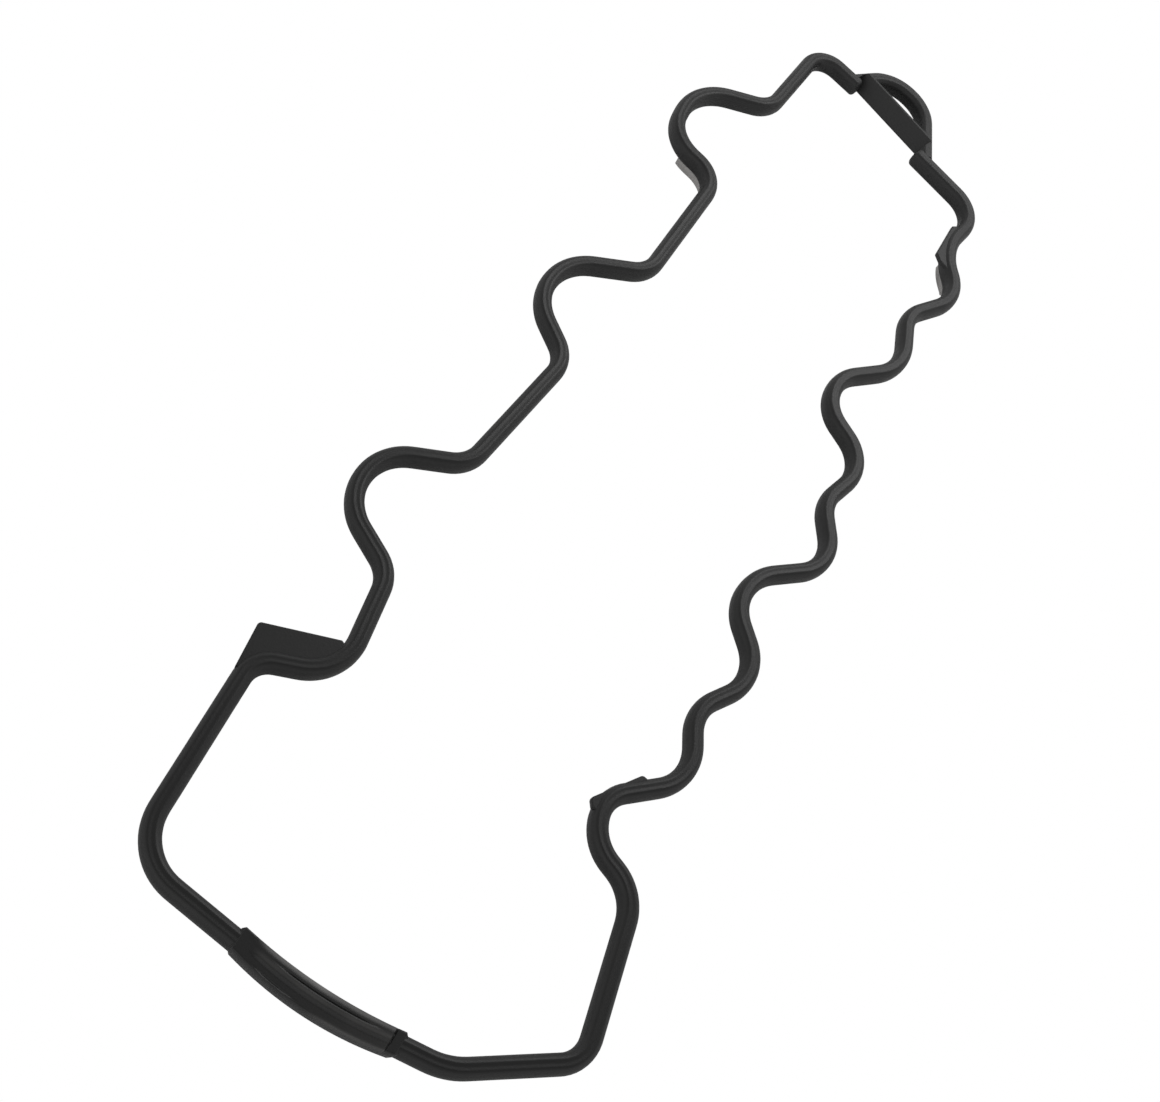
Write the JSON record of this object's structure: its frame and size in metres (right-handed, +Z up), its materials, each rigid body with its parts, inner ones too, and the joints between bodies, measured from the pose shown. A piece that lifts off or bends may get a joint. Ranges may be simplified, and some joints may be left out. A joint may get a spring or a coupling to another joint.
{
  "type": "valve cover gasket",
  "caption": "Black rubber valve cover gasket with a waved outline of lobes and notches, a half-moon loop at the rear and a strap across the front",
  "frame": {"origin": "under the middle of the gasket's box, at the lowest faces of the tabs and the skirt it lies on", "axes": "+X runs along the gasket to the half-moon loop at the rear, +Y points to the side with the lobes, +Z is up from the cylinder head to the cover"},
  "size_m": [0.4324, 0.1588, 0.0125],
  "materials": {
    "rubber": "matt moulded rubber"
  },
  "bodies": {
    "root": {"gasket": "rubber"}
  },
  "joints": []
}
